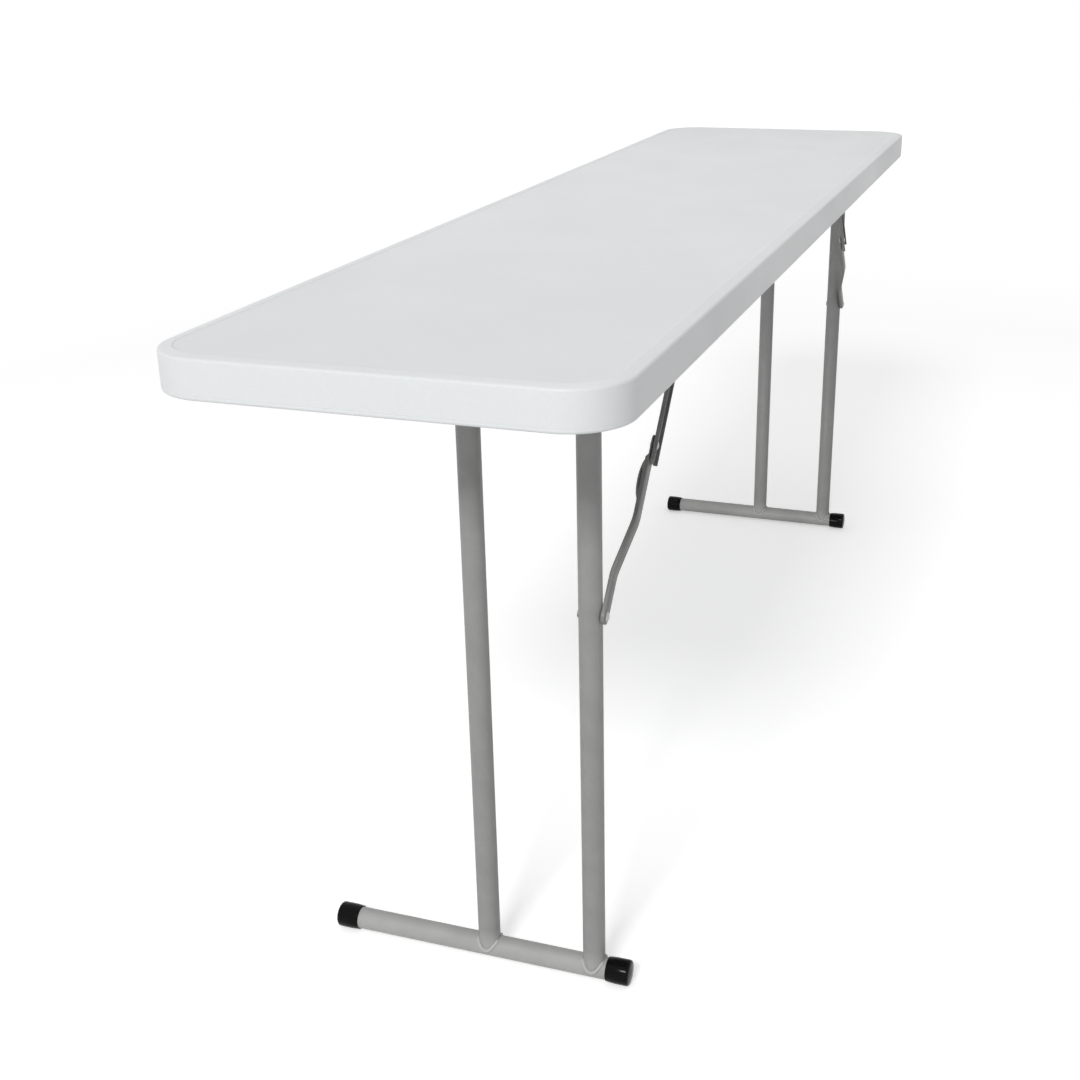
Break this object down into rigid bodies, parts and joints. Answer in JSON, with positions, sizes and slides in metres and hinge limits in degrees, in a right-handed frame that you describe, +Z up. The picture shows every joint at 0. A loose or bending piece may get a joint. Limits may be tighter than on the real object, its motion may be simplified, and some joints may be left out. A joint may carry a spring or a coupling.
{
  "type": "folding table",
  "caption": "Narrow rectangular folding table with a white moulded top and grey steel legs that fold flat under it, each held by a hinged two-part brace.",
  "frame": {"origin": "on the floor, under the middle of the top", "axes": "+X along the table, +Y to the side away from the braces, +Z up"},
  "size_m": [1.83, 0.457, 0.74],
  "materials": {
    "white_plastic": "fine-grained off-white moulding",
    "grey_paint": "satin grey powder coat",
    "black_plastic": "glossy black",
    "zinc_steel": "zinc plated"
  },
  "bodies": {
    "top": {"tabletop": "white_plastic", "front_side_rail": "grey_paint", "rear_side_rail": "grey_paint", "front_rail_screw_1": "zinc_steel", "front_rail_screw_2": "zinc_steel", "front_rail_screw_3": "zinc_steel", "front_rail_screw_4": "zinc_steel", "front_rail_screw_5": "zinc_steel", "front_rail_screw_6": "zinc_steel", "rear_rail_screw_1": "zinc_steel", "rear_rail_screw_2": "zinc_steel", "rear_rail_screw_3": "zinc_steel", "rear_rail_screw_4": "zinc_steel", "rear_rail_screw_5": "zinc_steel", "rear_rail_screw_6": "zinc_steel", "left_brace_anchor": "grey_paint", "left_anchor_rivet": "zinc_steel", "left_anchor_screw_1": "zinc_steel", "left_anchor_screw_2": "zinc_steel", "right_brace_anchor": "grey_paint", "right_anchor_rivet": "zinc_steel", "right_anchor_screw_1": "zinc_steel", "right_anchor_screw_2": "zinc_steel"},
    "left_leg_frame": {"left_pivot_tube": "grey_paint", "left_front_pivot_plug": "black_plastic", "left_rear_pivot_plug": "black_plastic", "left_outer_leg_tube": "grey_paint", "left_inner_leg_tube": "grey_paint", "left_foot_tube": "grey_paint", "left_front_foot_cap": "black_plastic", "left_rear_foot_cap": "black_plastic", "left_leg_rivet": "zinc_steel"},
    "left_lower_link": {"left_lower_brace_link": "grey_paint", "left_joint_rivet_tail": "zinc_steel"},
    "left_upper_link": {"left_upper_brace_link": "grey_paint", "left_joint_rivet": "zinc_steel"},
    "right_leg_frame": {"right_pivot_tube": "grey_paint", "right_front_pivot_plug": "black_plastic", "right_rear_pivot_plug": "black_plastic", "right_outer_leg_tube": "grey_paint", "right_inner_leg_tube": "grey_paint", "right_foot_tube": "grey_paint", "right_front_foot_cap": "black_plastic", "right_rear_foot_cap": "black_plastic", "right_leg_rivet": "zinc_steel"},
    "right_lower_link": {"right_lower_brace_link": "grey_paint", "right_joint_rivet_tail": "zinc_steel"},
    "right_upper_link": {"right_upper_brace_link": "grey_paint", "right_joint_rivet": "zinc_steel"}
  },
  "joints": [
    {"name": "left_leg_fold", "type": "hinge", "parent": "top", "child": "left_leg_frame", "pos_m": [-0.722, 0, 0.7105], "axis": [0, -1, 0], "range_deg": [0, 90]},
    {"name": "left_lower_link_turn", "type": "hinge", "parent": "left_leg_frame", "child": "left_lower_link", "pos_m": [-0.722, -0.1545, 0.4465], "axis": [0, -1, 0], "range_deg": [0, 42.04]},
    {"name": "left_upper_link_turn", "type": "hinge", "parent": "top", "child": "left_upper_link", "pos_m": [-0.484, -0.1713, 0.7105], "axis": [0, -1, 0], "range_deg": [-47.97, 0]},
    {"name": "right_leg_fold", "type": "hinge", "parent": "top", "child": "right_leg_frame", "pos_m": [0.722, 0, 0.7105], "axis": [0, 1, 0], "range_deg": [0, 90]},
    {"name": "right_lower_link_turn", "type": "hinge", "parent": "right_leg_frame", "child": "right_lower_link", "pos_m": [0.722, -0.1545, 0.4465], "axis": [0, 1, 0], "range_deg": [0, 42.04]},
    {"name": "right_upper_link_turn", "type": "hinge", "parent": "top", "child": "right_upper_link", "pos_m": [0.484, -0.1713, 0.7105], "axis": [0, 1, 0], "range_deg": [-47.97, 0]}
  ],
  "couplings": [
    {"joint": "left_lower_link_turn", "follows": "left_leg_fold", "ratio": 0.46706},
    {"joint": "left_upper_link_turn", "follows": "left_leg_fold", "ratio": -0.53294},
    {"joint": "right_lower_link_turn", "follows": "right_leg_fold", "ratio": 0.46706},
    {"joint": "right_upper_link_turn", "follows": "right_leg_fold", "ratio": -0.53294}
  ]
}
